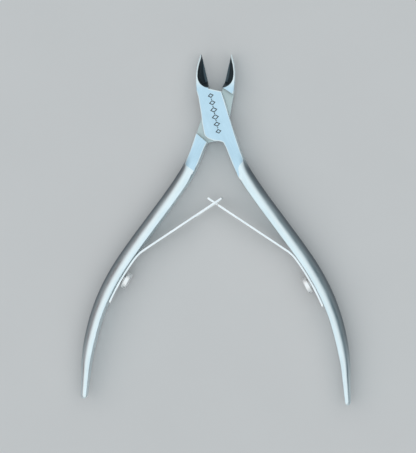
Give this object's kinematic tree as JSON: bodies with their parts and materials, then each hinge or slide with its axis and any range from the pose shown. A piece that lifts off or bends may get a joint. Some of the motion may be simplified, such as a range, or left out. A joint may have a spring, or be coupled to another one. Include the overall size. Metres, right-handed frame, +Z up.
{
  "type": "cuticle nipper",
  "caption": "Cuticle nipper with crossed satin steel levers on a flat lap joint, hollow-ground pointed jaws, bowed half-round handles and interlocking leaf springs that push it open.",
  "frame": {"origin": "middle of the underside of the bounding box, with the nipper lying flat at its rest opening", "axes": "+Y towards the cutting tips, +Z up out of the face that the upper lever lies on, +X to the right seen from above with the tips away"},
  "size_m": [0.073, 0.0944, 0.0074],
  "materials": {
    "lever_steel": "fine satin ground stainless steel, slightly brighter on the edges",
    "spring_steel": "bright rolled strip, drawn lengthwise",
    "screw_steel": "turned, lightly polished"
  },
  "bodies": {
    "upper_half": {"upper_lever": "lever_steel", "pivot_screw": "screw_steel", "right_spring_foot": "spring_steel", "right_spring_screw": "screw_steel"},
    "lower_half": {"lower_lever": "lever_steel", "left_spring_foot": "spring_steel", "left_spring_screw": "screw_steel"},
    "right_arm": {"right_spring_arm": "spring_steel"},
    "left_arm": {"left_spring_arm": "spring_steel"}
  },
  "joints": [
    {"name": "lever_pivot", "type": "hinge", "parent": "upper_half", "child": "lower_half", "pos_m": [-0.00003, 0.03005, 0.0037], "axis": [0, 0, 1], "range_deg": [0, 25.5], "stiffness_Nm_per_rad": 0.7, "springref_deg": -11.46},
    {"name": "right_spring_flex", "type": "hinge", "parent": "upper_half", "child": "right_arm", "pos_m": [0.02059, -0.00686, 0.0037], "axis": [0, 0, 1], "range_deg": [-15.5, 0]},
    {"name": "left_spring_flex", "type": "hinge", "parent": "lower_half", "child": "left_arm", "pos_m": [-0.02065, -0.00686, 0.0037], "axis": [0, 0, 1], "range_deg": [0, 15.5]}
  ],
  "couplings": [
    {"joint": "right_spring_flex", "follows": "lever_pivot", "ratio": -0.6},
    {"joint": "left_spring_flex", "follows": "lever_pivot", "ratio": 0.6}
  ]
}
